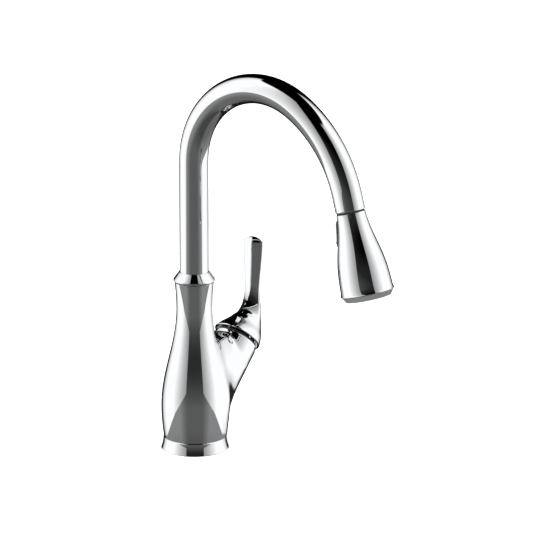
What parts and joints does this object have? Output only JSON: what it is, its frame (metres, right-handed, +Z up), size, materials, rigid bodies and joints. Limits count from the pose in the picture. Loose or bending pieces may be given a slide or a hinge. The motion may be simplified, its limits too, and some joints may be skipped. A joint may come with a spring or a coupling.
{
  "type": "pull down kitchen faucet",
  "caption": "Deck-mounted high-arc kitchen faucet with a side lever valve, swivelling spout and a pull down spray head on a hose.",
  "frame": {"origin": "centre of the base on the deck surface", "axes": "+Z up from the deck, the spout reaches towards -Y, the handle stands towards +X"},
  "size_m": [0.1379, 0.2761, 0.4628],
  "materials": {
    "chrome": "polished chrome plate",
    "brass": "machined",
    "copper": "drawn tube",
    "steel": "plain stainless",
    "magnet": "coated",
    "rubber": "moulded",
    "white_plastic": "moulded",
    "ceramic": "lapped",
    "black_plastic": "moulded",
    "grey_plastic": "moulded satin",
    "braid": "nylon braid"
  },
  "bodies": {
    "root": {"base_ring": "chrome", "base_gasket": "rubber", "body_shell": "chrome", "inlet_block": "brass", "hot_pipe": "copper", "cold_pipe": "copper", "outlet_pipe": "copper", "mounting_shank": "brass", "deck_washer": "rubber", "clamp_washer": "steel", "mounting_nut": "steel", "clamp_screws": "steel", "port_seals": "rubber", "cartridge_base": "white_plastic", "fixed_disc": "ceramic", "cartridge_housing": "white_plastic", "cartridge_nut": "brass", "trim_ring": "chrome", "lower_swivel_bush": "white_plastic", "upper_swivel_bush": "white_plastic", "spout_stop_screw": "steel"},
    "rotor": {"cartridge_rotor": "white_plastic", "pivot_pin": "steel"},
    "disc": {"moving_disc": "ceramic", "disc_carrier": "white_plastic"},
    "handle": {"handle": "chrome", "cartridge_stem": "steel", "handle_screw": "steel", "screw_plug": "chrome"},
    "spout": {"swivel_shank": "brass", "swivel_seals": "rubber", "spout_collar": "chrome", "spout_tube": "chrome", "dock_sleeve": "black_plastic", "dock_magnet": "magnet", "pull_down_hose": "braid"},
    "hose_end": {"hose_connector": "brass", "connector_seal": "rubber", "check_valve": "black_plastic"},
    "spray_head": {"head_shell": "chrome", "head_steel_ring": "steel", "head_core": "black_plastic", "button_frame": "black_plastic", "face_ring": "grey_plastic", "spray_face": "grey_plastic", "spray_nozzles": "rubber", "stream_outlet": "grey_plastic", "aerator_screen": "steel", "button_spring": "steel"},
    "button": {"spray_button": "chrome", "button_plunger": "black_plastic"}
  },
  "joints": [
    {"name": "spout_swivel", "type": "hinge", "parent": "root", "child": "spout", "pos_m": [0, 0, 0.15], "axis": [0, 0, 1], "range_deg": [-90, 90]},
    {"name": "hose_pull", "type": "slide", "parent": "spout", "child": "hose_end", "axis": [0, -0.2588, -0.9659], "range_m": [0, 0.19], "stiffness_N_per_m": 20, "springref_m": -0.5},
    {"name": "head_turn", "type": "hinge", "parent": "hose_end", "child": "spray_head", "pos_m": [0, -0.19398, 0.27907], "axis": [0, -0.2588, -0.9659], "range_deg": [-180, 180]},
    {"name": "button_press", "type": "slide", "parent": "spray_head", "child": "button", "axis": [0, -0.9659, 0.2588], "range_m": [0, 0.0014], "stiffness_N_per_m": 900, "springref_m": -0.0005, "deforming": ["button_spring"]},
    {"name": "temperature", "type": "hinge", "parent": "root", "child": "rotor", "pos_m": [0.05835, 0, 0.08772], "axis": [0.6947, 0, 0.7193], "range_deg": [-45, 45]},
    {"name": "flow", "type": "hinge", "parent": "rotor", "child": "handle", "pos_m": [0.05835, 0, 0.08772], "axis": [0, 1, 0], "range_deg": [0, 22]},
    {"name": "disc_slide", "type": "slide", "parent": "rotor", "child": "disc", "axis": [0.7193, 0, -0.6947], "range_m": [-0.0024, 0]}
  ],
  "couplings": [
    {"joint": "disc_slide", "follows": "flow", "m_per_rad": -0.0058}
  ]
}
